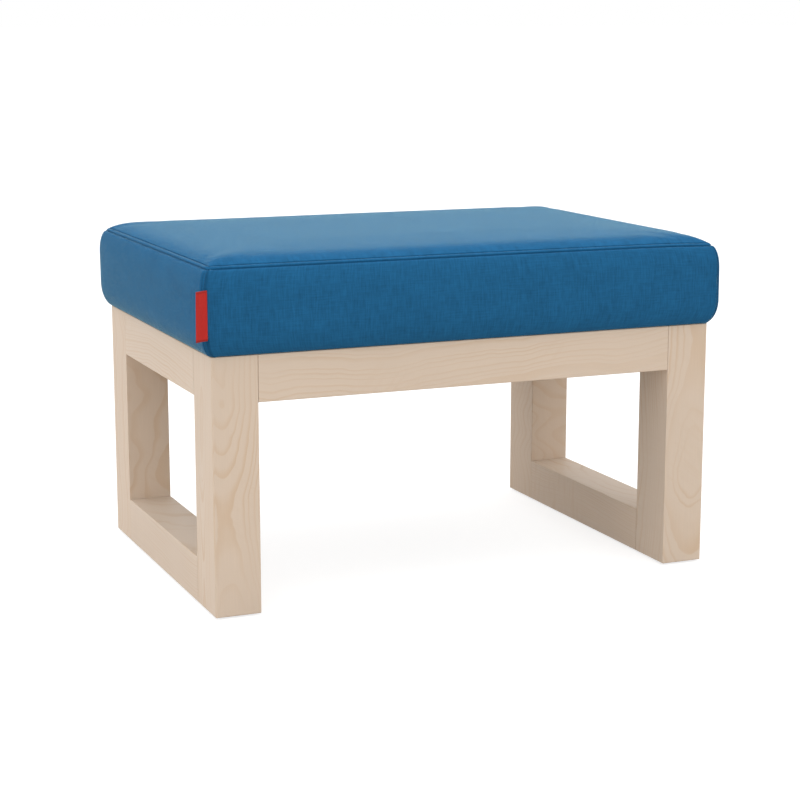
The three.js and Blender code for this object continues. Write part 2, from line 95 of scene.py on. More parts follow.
camera_data = bpy.data.cameras.new("photo_camera")
camera_data.lens = lens_length
camera_data.sensor_width = sensor_width
camera = placed("photo_camera", camera_data)
camera.location = frame_middle + camera_offset
camera.rotation_euler = (math.pi / 2 - camera_elevation, 0, camera_azimuth)
bpy.context.scene.camera = camera
bpy.context.scene.view_settings.view_transform = "Standard"

# Studio
# A seamless white floor and backdrop under an even white sky, with a broad soft light overhead and a weak
# one at the left. The floor looks white to the camera and keeps a soft shadow of the ottoman.


def node_material(name):
    """A new material with an empty node tree, and the two helpers to fill it."""
    material = bpy.data.materials.new(name)
    material.use_nodes = True
    material.node_tree.nodes.clear()
    return material, *tree_tools(material.node_tree)


def tree_tools(tree):
    """Two helpers for a node tree: add makes a node with its settings and inputs, calc one of arithmetic."""

    def add(kind, settings=None, **inputs):
        node = tree.nodes.new(kind)
        for key, value in (settings or {}).items():
            setattr(node, key, value)
        for key, value in inputs.items():
            socket = node.inputs[int(key[1:])] if key[1:].isdigit() else node.inputs[key.replace("_", " ")]
            if isinstance(value, bpy.types.NodeSocket):
                tree.links.new(value, socket)
            else:
                socket.default_value = value
        return node

    def calc(operation, first, second=0.0, third=0.0, clamp=False):
        settings = {"operation": operation, "use_clamp": clamp}
        return add("ShaderNodeMath", settings, _0=first, _1=second, _2=third).outputs[0]

    return add, calc


def lit_or_seen(add, calc, lighting, seen):
    """Mixes what lights the object with what the camera sees, directly or in gloss and glass."""
    path = add("ShaderNodeLightPath").outputs
    reflected = calc("MAXIMUM", path["Is Glossy Ray"], path["Is Transmission Ray"])
    looked_at = calc("MAXIMUM", path["Is Camera Ray"], reflected)
    return add("ShaderNodeMixShader", _0=looked_at, _1=lighting.outputs[0], _2=seen.outputs[0]).outputs[0]


floor_size = 240.0
floor_whiteness = 0.76
floor_tint = (0.42, 0.42, 0.42, 1)
bounce_tint = (0.56, 0.51, 0.46, 1)
paper_white = (1, 1, 1, 1)
sky_strength = 1.12

floor_material, add, calc = node_material("floor_paper")
lit = add("ShaderNodeBsdfDiffuse", Color=bounce_tint)
seen_paper = add("ShaderNodeBsdfDiffuse", Color=floor_tint)
seen_glow = add("ShaderNodeEmission", Color=paper_white, Strength=floor_whiteness)
seen = add("ShaderNodeAddShader", _0=seen_paper.outputs[0], _1=seen_glow.outputs[0])
paper = lit_or_seen(add, calc, lit, seen)
underside = add("ShaderNodeNewGeometry").outputs["Backfacing"]
clear = add("ShaderNodeBsdfTransparent")
either = add("ShaderNodeMixShader", _0=underside, _1=paper, _2=clear.outputs[0])
add("ShaderNodeOutputMaterial", Surface=either.outputs[0])

floor_mesh = bpy.data.meshes.new("floor")
edge = floor_size / 2
floor_corners = [(-edge, -edge, 0), (edge, -edge, 0), (edge, edge, 0), (-edge, edge, 0)]
floor_mesh.from_pydata(floor_corners, [], [(0, 1, 2, 3)])
floor_mesh.materials.append(floor_material)
floor = placed("floor", floor_mesh)

world = bpy.data.worlds.new("studio")
world.use_nodes = True
world.node_tree.nodes.clear()
add, calc = tree_tools(world.node_tree)
sky = add("ShaderNodeBackground", Color=paper_white, Strength=sky_strength)
backdrop = add("ShaderNodeBackground", Color=paper_white, Strength=1.0)
add("ShaderNodeOutputWorld", Surface=lit_or_seen(add, calc, sky, backdrop))
bpy.context.scene.world = world

# Each softbox: name, place, size and radiance, all aimed at the middle of the seat
softboxes = [
    ("overhead_softbox", (0.0, -0.2, 2.1), (2.4, 2.0), 0.9),
    ("left_softbox", (-2.6, -1.0, 1.2), (1.6, 1.6), 0.4),
]
seat_middle = Vector((frame_middle.x, frame_middle.y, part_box("seat_cover")[0].z))
for name, place, (width, depth), radiance in softboxes:
    lamp = bpy.data.lights.new(name, "AREA")
    lamp.shape = "RECTANGLE"
    lamp.size = width
    lamp.size_y = depth
    lamp.energy = math.pi * width * depth * radiance
    softbox = placed(name, lamp)
    softbox.location = place
    softbox.rotation_euler = (seat_middle - softbox.location).to_track_quat("-Z", "Y").to_euler()

# Timber frame
# Each end is a closed loop of two posts and two rails in planed maple, joined by aprons, with a clear
# satin lacquer. Every board is cut from its own place in a trunk, so its rings run their own way.


def shader_group(name, **inputs):
    """A shader node group for a finish, with the two helpers to fill it and what it is given."""
    group = bpy.data.node_groups.new(name, "ShaderNodeTree")
    group.interface.new_socket("Vector", in_out="INPUT", socket_type="NodeSocketVector")
    for label, value in inputs.items():
        kind = "NodeSocketColor" if isinstance(value, tuple) else "NodeSocketFloat"
        socket = group.interface.new_socket(label.replace("_", " "), in_out="INPUT", socket_type=kind)
        socket.default_value = value
    for label, kind in [("Color", "Color"), ("Roughness", "Float"), ("Height", "Float")]:
        group.interface.new_socket(label, in_out="OUTPUT", socket_type=f"NodeSocket{kind}")
    add, calc = tree_tools(group)
    return group, add, calc, add("NodeGroupInput").outputs


def streaks(add, vector, stretch, detail=1.0, roughness=0.5):
    """Noise drawn out along the axes."""
    spread = add("ShaderNodeVectorMath", {"operation": "MULTIPLY"}, _0=vector, _1=stretch).outputs[0]
    noise = add("ShaderNodeTexNoise", Vector=spread, Scale=1.0, Detail=detail, Roughness=roughness)
    return noise.outputs["Fac"]


def blend(add, share, first, second):
    """A colour between two others."""
    return add("ShaderNodeMix", {"data_type": "RGBA"}, _0=share, _6=first, _7=second).outputs[2]


def scaled(add, color, share):
    """A colour made lighter or darker."""
    return add("ShaderNodeVectorMath", {"operation": "SCALE"}, _0=color, Scale=share).outputs[0]


def build_timber_figure():
    """Growth rings round a pith along Z, with a wander along the grain, slanting curl and fine pores."""
    group, add, calc, given = shader_group(
        "timber_figure",
        Ring_Width=0.005,
        Ring_Contrast=0.8,
        Wander=0.008,
        Curl=0.2,
        Pale=(0.66, 0.52, 0.40, 1),
        Late=(0.57, 0.42, 0.30, 1),
    )
    spot = given["Vector"]

    def ramp(value, start, end):
        smooth = {"interpolation_type": "SMOOTHSTEP"}
        return add("ShaderNodeMapRange", smooth, Value=value, From_Min=start, From_Max=end).outputs[0]

    across = add("ShaderNodeVectorMath", {"operation": "MULTIPLY"}, _0=spot, _1=(1.0, 1.0, 0.0))
    radius = add("ShaderNodeVectorMath", {"operation": "LENGTH"}, _0=across.outputs[0]).outputs["Value"]
    sweep = calc("SUBTRACT", streaks(add, spot, (5.0, 5.0, 3.4)), 0.5)
    radius = calc("MULTIPLY_ADD", sweep, 0.045, radius)
    wander = calc("SUBTRACT", streaks(add, spot, (5.0, 5.0, 17.0), 1.0, 0.4), 0.5)
    wander = calc("MULTIPLY", wander, given["Wander"])
    radius = calc("ADD", radius, wander)
    ripple = calc("SUBTRACT", streaks(add, spot, (60.0, 60.0, 55.0)), 0.5)
    radius = calc("MULTIPLY_ADD", ripple, 0.0016, radius)

    season = calc("DIVIDE", radius, given["Ring Width"])
    spread = calc("MULTIPLY", season, 0.37)
    years = add("ShaderNodeTexNoise", {"noise_dimensions": "1D"}, W=spread, Scale=1.0, Detail=1.0)
    season = calc("MULTIPLY_ADD", years.outputs[0], 2.2, season)
    within = calc("FRACT", season)
    late = calc("MULTIPLY", ramp(within, 0.5, 0.9), calc("SUBTRACT", 1.0, ramp(within, 0.92, 1.0)))
    faintness = calc("MULTIPLY_ADD", streaks(add, spot, (14.0, 14.0, 7.0)), 2.2, -0.55, clamp=True)
    late = calc("MULTIPLY", calc("MULTIPLY", late, faintness), given["Ring Contrast"])

    x, y, z = add("ShaderNodeSeparateXYZ", Vector=spot).outputs
    slanted = add("ShaderNodeCombineXYZ", X=x, Y=y, Z=calc("MULTIPLY_ADD", x, 0.8, z)).outputs[0]
    band = streaks(add, slanted, (22.0, 22.0, 150.0), 2.0, 0.55)
    patch = ramp(streaks(add, spot, (7.0, 7.0, 6.0)), 0.42, 0.68)
    curl = calc("MULTIPLY", calc("MULTIPLY", ramp(band, 0.42, 0.72), patch), given["Curl"])
    darkened = calc("MAXIMUM", late, curl, clamp=True)
    ringed = blend(add, darkened, given["Pale"], given["Late"])

    pores = streaks(add, spot, (900.0, 900.0, 30.0), 2.0)
    tone = calc("SUBTRACT", streaks(add, spot, (9.0, 9.0, 3.5), 2.0), 0.5)
    shade = calc("MULTIPLY_ADD", tone, 0.10, 1.0)
    shade = calc("MULTIPLY_ADD", calc("SUBTRACT", pores, 0.5), 0.07, shade)
    rough = calc("MULTIPLY_ADD", pores, 0.16, 0.40)
    rough = calc("MULTIPLY_ADD", late, 0.05, rough)
    height = calc("MULTIPLY_ADD", late, -0.35, pores)
    add("NodeGroupOutput", Color=scaled(add, ringed, shade), Roughness=rough, Height=height)
    return group


timber_figure = build_timber_figure()

maple_pale = (0.668, 0.552, 0.446, 1)
maple_late = (0.610, 0.455, 0.318, 1)
maple_ring = 3.4 * mm
maple_relief = 0.05 * mm
lively_ring = 8 * mm
calm_grain = 6 * mm
lively_grain = 66 * mm
trunk_lean = (0.022, -0.016, 0.0)
trunk_step = 1.37

# How a board's own length is turned onto the trunk's axis
grain_turns = {
    "x": (0.0, math.pi / 2, 0.0),
    "y": (-math.pi / 2, 0.0, 0.0),
    "z": (0.0, 0.0, 0.0),
}


def tinted(color, warmth):
    """A colour pulled a little towards red or away from it."""
    return color[0], color[1] * warmth, color[2] * warmth ** 2, 1


def figured(add, turn, place, **look):
    """The timber's figure on a piece, with the trunk's axis turned and its pith put through a place."""
    spot = add("ShaderNodeTexCoord").outputs["Object"]
    trunk = add("ShaderNodeMapping", {"vector_type": "TEXTURE"}, Vector=spot, Rotation=turn, Location=place)
    return add("ShaderNodeGroup", {"node_tree": timber_figure}, Vector=trunk.outputs[0], **look).outputs


def surface(add, color, roughness, height, relief, strength, **settings):
    """Ends a material in its surface: a colour, a roughness, a relief and the shader's own settings."""
    bump = add("ShaderNodeBump", Height=height, Distance=relief, Strength=strength).outputs[0]
    look = add("ShaderNodeBsdfPrincipled", Base_Color=color, Roughness=roughness, Normal=bump, **settings)
    add("ShaderNodeOutputMaterial", Surface=look.outputs[0])


def dress(node, material):
    """Gives a CAD node its finished material."""
    for slot in nodes[node].material_slots:
        slot.material = material


maple = ("maple", maple_pale, maple_late, maple_ring)
lively_maple = ("maple", maple_pale, maple_late, lively_ring)


def cut(node, timber, number, grain, pith, wander, curl, warmth):
    """Cuts a piece out of its own stretch of trunk, with the pith some millimetres beside it."""
    kind, pale, late, ring = timber
    low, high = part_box(node)
    along = {"x": (1, 0, 0), "y": (0, 1, 0), "z": (0, 0, 1)}[grain]
    place = (low + high) / 2 + Vector(pith) * mm + Vector(along) * number * trunk_step
    turn = tuple(a + b for a, b in zip(grain_turns[grain], trunk_lean))
    colors = {"Pale": tinted(pale, warmth), "Late": tinted(late, warmth)}
    material, add, calc = node_material(f"{kind}_{node}")
    figure = figured(add, turn, place, Ring_Width=ring, Wander=wander, Curl=curl, **colors)
    surface(add, *figure, maple_relief, 0.6, Specular_IOR_Level=0.3)
    dress(node, material)


# Each board: its timber, the axis of its grain, where the pith lies from its middle, how much its rings
# wander along the grain, how strong its curl is and how warm its tone is
boards = [
    ("front_left_post", maple, "z", (-13, 6, 0), calm_grain, 0.1, 0.995),
    ("front_right_post", maple, "z", (-8, 12, 0), calm_grain, 0.15, 1.0),
    ("back_left_post", lively_maple, "z", (4, 92, 0), lively_grain, 0.25, 0.98),
    ("back_right_post", lively_maple, "z", (-6, 88, 0), lively_grain, 0.25, 0.975),
    ("left_top_rail", maple, "y", (24, 0, 30), calm_grain, 0.2, 1.0),
    ("left_bottom_rail", maple, "y", (20, 0, -52), calm_grain, 0.45, 0.99),
    ("right_top_rail", maple, "y", (-52, 0, -30), calm_grain, 0.2, 1.0),
    ("right_bottom_rail", maple, "y", (44, 0, -40), calm_grain, 0.45, 0.99),
    ("front_apron", maple, "x", (0, 38, -17), calm_grain, 0.4, 1.0),
    ("back_apron", maple, "x", (0, -82, 12), calm_grain, 0.3, 0.99),
]
for number, (name, timber, *way) in enumerate(boards):
    cut(name, timber, number, *way)

# Joints and corner blocks
# Flat beech tenons are glued half into each board, and a sawn maple block is glued and screwed into
# each corner behind the apron. The blocks are a shade warmer than the boards.

beech = ("beech", (0.56, 0.40, 0.26), (0.44, 0.28, 0.16), 3.2 * mm)
tenon_pith = (31, 27, -29)
block_pith = (38, -33, 0)
ends = ["left", "right"]
sides = ["front", "back"]

tenon_grain = {}
for end in ends:
    for side in sides:
        tenon_grain[f"{side}_apron_{end}_tenon"] = "x"
        for level in ["top", "bottom"]:
            tenon_grain[f"{end}_{level}_rail_{side}_tenon"] = "y"
for number, (name, grain) in enumerate(tenon_grain.items()):
    cut(name, beech, number, grain, tenon_pith, calm_grain, 0.1, 1.0)

corner_names = [f"{side}_{end}" for side in sides for end in ends]
for number, name in enumerate(corner_names):
    cut(f"{name}_corner_block", maple, number + len(boards), "z", block_pith, calm_grain, 0.2, 0.97)

# Screws, bolts, tee nuts and glide nails
# Bright zinc plated steel, from automatic machines: plating a little cloudy, with fine scuffs where
# the driver or the socket has turned in it.


def build_plating():
    """Zinc plating: cloudy tone, uneven gloss and fine scuffs."""
    group, add, calc, given = shader_group("zinc_plating", Bright=(0.6, 0.61, 0.62, 1))
    cloud = add("ShaderNodeTexNoise", Vector=given["Vector"], Scale=420.0, Detail=3.0).outputs["Fac"]
    scuff = add("ShaderNodeTexNoise", Vector=given["Vector"], Scale=2600.0, Detail=2.0).outputs["Fac"]
    toned = scaled(add, given["Bright"], calc("MULTIPLY_ADD", cloud, 0.3, 0.82))
    add("NodeGroupOutput", Color=toned, Roughness=calc("MULTIPLY_ADD", cloud, 0.3, 0.2), Height=scuff)
    return group


zinc_plating = build_plating()
zinc_bright = (0.62, 0.63, 0.65, 1)

zinc, add, calc = node_material("zinc_plated_steel")
spot = add("ShaderNodeTexCoord").outputs["Object"]
plating = add("ShaderNodeGroup", {"node_tree": zinc_plating}, Vector=spot, Bright=zinc_bright)
surface(add, *plating.outputs, 0.02 * mm, 0.5, Metallic=1.0)
for name in corner_names:
    for kind in ["post_screw", "apron_screw", "seat_bolt", "tee_nut", "glide_nail"]:
        dress(f"{name}_{kind}", zinc)

# Glides
# Thin turned discs of off-white nylon under the posts, nailed up into the end grain. Their faces have
# the dull bloom of moulded nylon and fine rubbing marks.

nylon_white = (0.74, 0.72, 0.67, 1)
nylon_grey = (0.55, 0.53, 0.49, 1)

nylon, add, calc = node_material("moulded_nylon")
spot = add("ShaderNodeTexCoord").outputs["Object"]
rub = add("ShaderNodeTexNoise", Vector=spot, Scale=340.0, Detail=4.0).outputs["Fac"]
grime = add("ShaderNodeMapRange", Value=rub, From_Min=0.5, From_Max=0.8).outputs[0]
tint = blend(add, grime, nylon_white, nylon_grey)
milky = {"Subsurface_Weight": 0.1, "Subsurface_Radius": (0.002, 0.002, 0.0015)}
surface(add, tint, calc("MULTIPLY_ADD", rub, 0.3, 0.32), rub, 0.03 * mm, 0.6, **milky)
for name in corner_names:
    dress(f"{name}_glide", nylon)

# Seat board
# Birch plywood, sawn to size: long figure on its two faces, and thin light and dark plies on its
# edges. The tee nuts are let into its top.

board_low, board_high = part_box("seat_board")
ply_count = 11
ply_pitch = (board_high.z - board_low.z) / ply_count
ply_pale = (0.62, 0.46, 0.29, 1)
ply_late = (0.53, 0.37, 0.22, 1)
ply_dark = (0.40, 0.26, 0.14, 1)
ply_ring = 11 * mm
ply_pith = (0.3, 0.1, board_low.z - 0.2)

plywood, add, calc = node_material("birch_plywood")
veneer = {"Ring_Width": ply_ring, "Wander": lively_grain, "Curl": 0.1, "Pale": ply_pale, "Late": ply_late}
figure = figured(add, grain_turns["x"], ply_pith, **veneer)
spot = add("ShaderNodeTexCoord").outputs["Object"]
above = calc("SUBTRACT", add("ShaderNodeSeparateXYZ", Vector=spot).outputs["Z"], board_low.z)
pair = calc("PINGPONG", calc("DIVIDE", above, ply_pitch), 1.0)
facing = add("ShaderNodeNewGeometry").outputs["True Normal"]
upright = calc("ABSOLUTE", add("ShaderNodeSeparateXYZ", Vector=facing).outputs["Z"])
on_edge = calc("LESS_THAN", upright, 0.5)
dark_ply = calc("MULTIPLY", calc("GREATER_THAN", pair, 0.5), on_edge)
tint = blend(add, dark_ply, figure["Color"], ply_dark)
surface(add, tint, 0.7, figure["Height"], 0.1 * mm, 0.6)
dress("seat_board", plywood)

# Foam core
# A block of pale yellow upholstery foam, cut flush with the board and standing proud of it higher up,
# with a soft crown. It is glued to the board.

half_frame = Vector((
    (back_right_foot.x - front_left_foot.x) / 2,
    (back_right_foot.y - front_left_foot.y) / 2,
))
cover_low, cover_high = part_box("seat_cover")
cover_gap = 0.3 * mm
cover_thickness = 1.2 * mm
wrap_thickness = 8 * mm

# The crown: a roll that rises from the seam, and a low dome that the padding presses up inside it
roll_rise = 12.2 * mm
roll_width = 10.1 * mm
roll_power = 1.12
least_roll = 1e-4
crest_rise = 0.3 * mm
dome_rise = 3.0 * mm
seam_level = cover_high.z + crest_rise - roll_rise - dome_rise

# The sides: how far they stand out from the frame, and how they turn in below and above
side_height = seam_level - cover_low.z
side_swell = (cover_high.x - cover_low.x) / 2 - half_frame.x
corner_swell_share = 0.93
lower_edge_share = -0.15
seam_share = 0.44
low_turn = 28 * mm
high_turn = 27 * mm
high_turn_power = 2.4
high_turn_ease = 0.65
bow_power = 10

# How the padding has settled
lean = 0.6 * mm
right_drop = 1.0 * mm
corner_drop = 1.1 * mm
corner_drop_reach = 35 * mm

# The seams: how far they draw the cloth in along the top edge, at the ends and at the corners
seam_pull = 1.8 * mm
end_pull = 4.5 * mm
end_round = 6.0 * mm
end_fullness = 1.18
face_round = 6.5 * mm
corner_groove = 1.3 * mm
padding_tuck = 2.0 * mm
blunt_share = 0.8
blunt_reach = 8 * mm
padding_round = 3.0 * mm

# The welt beside the top seam and the strip beside each corner seam, out to their stitches
edge_tilt = 0.72
stitch_sink = 1.0 * mm
welt_width = 4.6 * mm
welt_sink_width = 0.45 * mm
welt_fade = 6.5 * mm
strip_width = 2.4 * mm
strip_sink_width = 0.5 * mm
# How wide the painted shade is that darkens the cloth in each seam
painted_shade_width = 0.9 * mm

# How far apart the four side panels lie from each other and from the top on the flat cloth, in metres
panel_step = 1.3
panel_rise = 1.1


def stations(length, near_steps, spacing):
    """Distances along an edge: the near steps at both ends, evenly spaced between them."""
    near = np.array(near_steps)
    count = max(2, round((length - 2 * near[-1]) / spacing) + 1)
    middle = np.linspace(near[-1], length - near[-1], count)
    return np.concatenate([near[:-1], middle, length - near[-2::-1]])


def swell_at(height):
    """How far the side stands out: it turns in at its lower edge and at its seam, and is straight between."""
    if height < low_turn:
        turn = 1 - height / low_turn
        share = lower_edge_share + (1 - lower_edge_share) * math.sqrt(max(0.0, 1 - turn * turn))
    else:
        turn = max(0.0, 1 - (side_height - height) / high_turn)
        share = seam_share + (1 - seam_share) * max(0.0, 1 - turn ** high_turn_power) ** high_turn_ease
    return side_swell * share


def bell(distance, width):
    """1 at a place, falling away smoothly over about a width to either side."""
    return np.exp(-((distance / width) ** 2))


def rolled(distance):
    """Share of the roll's rise at a distance in from the seam."""
    return 1 - np.exp(-((distance / roll_width) ** roll_power))


def settled(points):
    """The padding has settled: a little to the left, and down at the right end and its front corner."""
    share = np.clip((points[:, 2] - cover_low.z) / side_height, 0, 1)
    share = share * share * (3 - 2 * share)
    rightwards = np.clip(points[:, 0] / half_frame.x, 0, 1) ** 2
    from_corner = np.hypot(points[:, 0] - half_frame.x, points[:, 1] + half_frame.y)
    drop = right_drop * rightwards + corner_drop * bell(from_corner, corner_drop_reach)
    moved = points.copy()
    moved[:, 0] -= lean * share
    moved[:, 2] -= drop * share
    return moved


def eased(places, stops, values):
    """Values at places between stops, joined by smooth curves along the first axis."""
    slopes = np.gradient(values, stops, axis=0)
    before = np.clip(np.searchsorted(stops, places) - 1, 0, len(stops) - 2)
    gap = (stops[before + 1] - stops[before]).reshape(-1, 1, 1)
    t = (places - stops[before]).reshape(-1, 1, 1) / gap
    start = values[before] * (2 * t ** 3 - 3 * t ** 2 + 1) + slopes[before] * gap * (t ** 3 - 2 * t ** 2 + t)
    end = values[before + 1] * (3 * t ** 2 - 2 * t ** 3) + slopes[before + 1] * gap * (t ** 3 - t ** 2)
    return start + end


def painted_shade_share(near, width, sink_width):
    """How much painted shade darkens a seam and the row of stitches beside it, from 0 to 1."""
    return np.maximum(bell(near, painted_shade_width), bell(near - width, sink_width))


def corner_turn(near):
    """The round corner beside a seam: how far in from the end it lies, and which way it faces."""
    turn = np.clip(1 - near / end_round, 0, 1)
    across = np.sqrt(1 - turn ** 2)
    facing = np.stack([across / end_pull, turn / end_round])
    return end_pull * (1 - across), facing / np.linalg.norm(facing, axis=0)


def cloth_piece(name, points, faces, flat):
    """A smooth mesh object, with a map that holds each face's place on the flat cloth in metres."""
    mesh = bpy.data.meshes.new(name)
    mesh.from_pydata(points, [], faces)
    mesh.uv_layers.new(name="cloth").data.foreach_set("uv", flat)
    mesh.shade_smooth()
    return placed(name, mesh)


class SeatSkin:
    """Points of a boxed seat form: levels of rings up the sides, and a top panel inside the last ring."""

    def __init__(self, depth, near_steps, spacing, groove_width, crease_width):
        self.depth = depth
        self.groove_width = groove_width
        self.crease_width = crease_width
        self.corner_depth = corner_groove + min(depth, padding_tuck)
        self.half = [half_frame.x - depth, half_frame.y - depth]
        seam_out = side_swell * seam_share - seam_pull
        self.seam_half = [self.half[0] + seam_out * end_fullness, self.half[1] + seam_out]
        self.steps = [stations(2 * h, near_steps, spacing) for h in self.seam_half]
        self.near = [np.minimum(s, 2 * h - s) for s, h in zip(self.steps, self.seam_half)]
        self.lines = []
        for step, near, half in zip(self.steps, self.near, self.seam_half):
            pulled = near - seam_pull * self.past_groove(near) * (1 - near / half)
            self.lines.append(np.where(step < half, pulled - half, half - pulled))
        self.rings = []
        self.painted_shades = []
        self.arcs = [0.0]

    def past_groove(self, near):
        """How far a place has come out of the groove along a seam, from 0 to 1."""
        return 1 - bell(near, self.groove_width)

    def drawn_in(self, near_x, near_y):
        """How far the corner seams draw the cloth in, along X and along Y."""
        groove = self.corner_depth * np.exp(-(near_x ** 2 + near_y ** 2) / self.crease_width ** 2)
        turned = corner_turn(near_y)[0] * np.exp(-near_x / face_round)
        blunt = blunt_share * seam_pull * bell(near_x + near_y, blunt_reach)
        return turned + groove + blunt * self.past_groove(near_x), groove + blunt * self.past_groove(near_y)

    def ring(self, level, reach, swell=0.0, strip=None):
        """Adds a ring that stands out from the frame by its reach, and by its swell as well mid-side."""
        half = [self.half[0] + reach * end_fullness, self.half[1] + reach]
        points = []
        # Painted shade in the seams and in the rows of stitches beside them, where the creases fall in shade
        shade = [painted_shade_share(near, 0.0, painted_shade_width) for near in self.near * 2]
        for side in range(4):
            along_axis = side % 2
            share = self.lines[along_axis] / self.seam_half[along_axis]
            if side > 1:
                share = -share
            near = (1 - np.abs(share)) * self.seam_half[along_axis]
            nears = [near, 0.0] if along_axis == 0 else [0.0, near]
            drawn = self.drawn_in(*nears)
            out = half[1 - along_axis] + swell * (1 - np.abs(share) ** bow_power) - drawn[1 - along_axis]
            along = np.abs(share) * half[along_axis] - drawn[along_axis]
            if strip is not None and along_axis == 1:
                facing = corner_turn(near)[1]
                out = out + strip(near) * facing[0]
                along = along + strip(near) * facing[1]
                shade[side] = painted_shade_share(near, strip_width, strip_sink_width)
            sign = -1 if side in (0, 3) else 1
            column = np.empty((len(share), 3))
            column[:, along_axis] = along * np.sign(share)
            column[:, 1 - along_axis] = out * sign
            column[:, 2] = level
            points.append(column[:-1])
        ring = np.concatenate(points)
        if self.rings:
            middle = len(self.lines[0]) // 2
            self.arcs.append(self.arcs[-1] + float(np.linalg.norm(ring[middle] - self.rings[-1][middle])))
        self.rings.append(ring)
        self.painted_shades.append(np.concatenate([part[:-1] for part in shade]))

    def crown(self, dome_height, welt=None):
        """The top panel's points as a grid: a roll along its edge, and a low dome inside it."""
        near_x, near_y = np.meshgrid(*self.near, indexing="ij")
        lines_x, lines_y = np.meshgrid(*self.lines, indexing="ij")
        roll_x = np.maximum(rolled(near_x), least_roll)
        roll_y = np.maximum(rolled(near_y), least_roll)
        roll = 1 / np.sqrt(roll_x ** -2 + roll_y ** -2 - 1)
        dome = (1 - (lines_x / self.seam_half[0]) ** 2) * (1 - (lines_y / self.seam_half[1]) ** 2)
        level = seam_level - self.depth + roll_rise * roll + dome_height * dome
        relief = 0 * level if welt is None else edge_tilt * welt(np.minimum(near_x, near_y))
        relief = relief * (1 - bell(np.maximum(near_x, near_y), welt_fade))
        drawn_x, drawn_y = self.drawn_in(near_x, near_y)
        place_x = lines_x - np.sign(lines_x) * (drawn_x - relief * (near_x < near_y))
        place_y = lines_y - np.sign(lines_y) * (drawn_y - relief * (near_y < near_x))
        self.top = np.stack([place_x, place_y, level + relief], axis=-1)
        # Painted shade along the top seam and the welt's row of stitches
        self.top_painted_shade = painted_shade_share(np.minimum(near_x, near_y), welt_width, welt_sink_width)

    def around(self):
        """Where a ring's points lie on their way round, in sides."""
        sides = [side + (1 + self.lines[side % 2] / self.seam_half[side % 2]) / 2 for side in range(4)]
        return np.concatenate([side[:-1] for side in sides])

    def follow(self, form, moved):
        """Moves the points as a coarser skin's points have moved, read by their place on each panel."""
        count = len(form.rings[0])
        sides = moved[:len(form.rings) * count].reshape(-1, count, 3)
        levels = np.array([ring[0, 2] for ring in form.rings])
        own_levels = np.clip([ring[0, 2] for ring in self.rings], levels[0], levels[-1])
        across = eased(own_levels, levels, sides).transpose(1, 0, 2)
        across = np.concatenate([across[-2:], across, across[:2]])
        around = form.around()
        around = np.concatenate([around[-2:] - 4, around, around[:2] + 4])
        shifts = eased(self.around(), around, across).transpose(1, 0, 2)
        self.rings = [ring + shift for ring, shift in zip(self.rings, shifts)]
        count_x, count_y = (len(line) for line in form.lines)
        grid = np.array([[moved[form.top_at[i, j]] for i in range(count_x)] for j in range(count_y)])
        grid = eased(self.lines[1], form.lines[1], grid).transpose(1, 0, 2)
        self.top = self.top + eased(self.lines[0], form.lines[0], grid)

    def loop(self, step):
        """The places all round the top grid that lie a number of steps in from the seam."""
        last_x, last_y = (len(line) - 1 - step for line in self.lines)
        there = [(i, step) for i in range(step, last_x)] + [(last_x, j) for j in range(step, last_y)]
        back = [(i, last_y) for i in range(last_x, step, -1)] + [(step, j) for j in range(last_y, step, -1)]
        return there + back

    def build(self, name, closed_below=False):
        """A mesh object with a cloth map in metres: one piece of map for each side and for the top."""
        count = len(self.rings[0])
        rows = len(self.rings)
        count_x, count_y = (len(line) for line in self.lines)
        inner = [(i, j) for i in range(1, count_x - 1) for j in range(1, count_y - 1)]
        top_at = {place: number for number, place in enumerate(self.loop(0) + inner, (rows - 1) * count)}
        self.top_at = top_at
        points = np.concatenate([*self.rings, self.top[1:-1, 1:-1].reshape(-1, 3)])
        painted_shades = np.concatenate([*self.painted_shades, self.top_painted_shade[1:-1, 1:-1].ravel()])
        faces = []
        maps = []
        spans = [count_x - 1, count_y - 1] * 2
        starts = np.cumsum([0, *spans])
        for side in range(4):
            steps = self.steps[side % 2]
            for k in range(spans[side]):
                here = starts[side] + k
                after = (here + 1) % count
                for row in range(rows - 1):
                    low, high = row * count, (row + 1) * count
                    faces.append((low + here, low + after, high + after, high + here))
                    left, right = steps[k] + side * panel_step, steps[k + 1] + side * panel_step
                    bottom, top = self.arcs[row] + panel_rise, self.arcs[row + 1] + panel_rise
                    maps.append(((left, bottom), (right, bottom), (right, top), (left, top)))
        for i in range(count_x - 1):
            for j in range(count_y - 1):
                ring = [(i, j), (i + 1, j), (i + 1, j + 1), (i, j + 1)]
                if (i < count_x / 2) != (j < count_y / 2):
                    ring = ring[1:] + ring[:1]
                places = [top_at[p] for p in ring]
                cloth = [(self.steps[0][a], self.steps[1][b]) for a, b in ring]
                faces.extend([(places[0], places[1], places[2]), (places[0], places[2], places[3])])
                maps.extend([(cloth[0], cloth[1], cloth[2]), (cloth[0], cloth[2], cloth[3])])
        if closed_below:
            faces.append(tuple(range(count - 1, -1, -1)))
            maps.append(tuple((float(x), float(y)) for x, y, _ in self.rings[0][::-1]))
        middle = np.array([frame_middle.x, frame_middle.y, 0])
        points = (settled(points) + middle).tolist()
        piece = cloth_piece(name, points, faces, np.concatenate([np.array(m).ravel() for m in maps]))
        # The sewn attribute carries the seams' and stitch rows' painted shade to the cloth's material
        piece.data.attributes.new("sewn", "FLOAT", "POINT").data.foreach_set("value", painted_shades)
        return piece

    def seam_line(self, step):
        """The vertices all round the top that lie a number of steps in from the seam."""
        return [self.top_at[place] for place in self.loop(step)]

